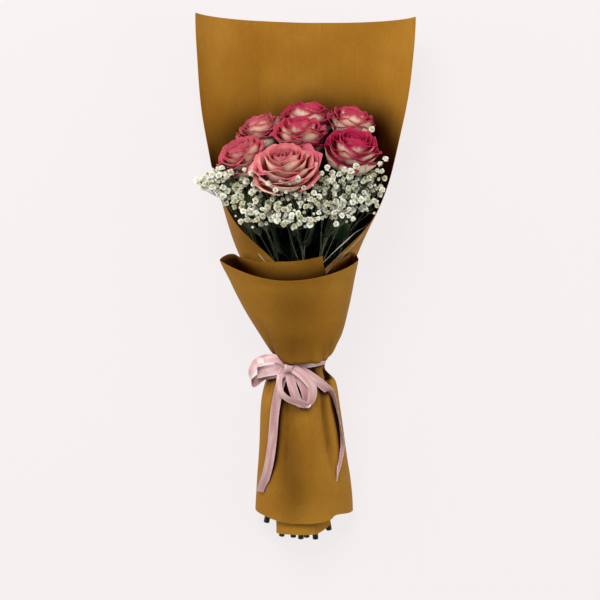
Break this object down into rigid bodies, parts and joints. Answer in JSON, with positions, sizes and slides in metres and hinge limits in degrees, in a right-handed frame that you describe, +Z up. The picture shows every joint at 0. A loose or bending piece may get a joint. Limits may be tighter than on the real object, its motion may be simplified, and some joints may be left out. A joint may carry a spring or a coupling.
{
  "type": "wrapped rose bouquet",
  "caption": "Hand-tied bunch of two-tone roses and baby's breath in kraft paper with a satin ribbon, lying on its back.",
  "frame": {"origin": "on the floor, under the middle of the bunch's length and width as it lies", "axes": "+Y from the cut stems to the blooms, +Z up, which is the front of the bunch, +X to the right of a viewer who faces the front with the blooms at the top"},
  "size_m": [0.244, 0.5936, 0.186],
  "materials": {
    "kraft_paper": "matt brown kraft paper",
    "clear_film": "clear glossy film",
    "satin_ribbon": "pale pink satin",
    "twine": "matt twine",
    "petal": "cream petals with pink edges, soft sheen",
    "leaf": "dark green, slightly waxy",
    "breath": "matt white florets on pale green stalks"
  },
  "bodies": {
    "root": {"backing_paper": "kraft_paper", "collar_paper": "kraft_paper", "clear_film": "clear_film", "satin_ribbon": "satin_ribbon", "stem_twine": "twine", "rose_bloom_1": "petal", "rose_bloom_2": "petal", "rose_bloom_3": "petal", "rose_bloom_4": "petal", "rose_bloom_5": "petal", "rose_bloom_6": "petal", "rose_bloom_7": "petal", "rose_stem_1": "leaf", "rose_stem_2": "leaf", "rose_stem_3": "leaf", "rose_stem_4": "leaf", "rose_stem_5": "leaf", "rose_stem_6": "leaf", "rose_stem_7": "leaf", "breath_spray_1": "breath", "breath_spray_2": "breath", "breath_spray_3": "breath", "breath_spray_4": "breath", "breath_spray_5": "breath"}
  },
  "joints": []
}
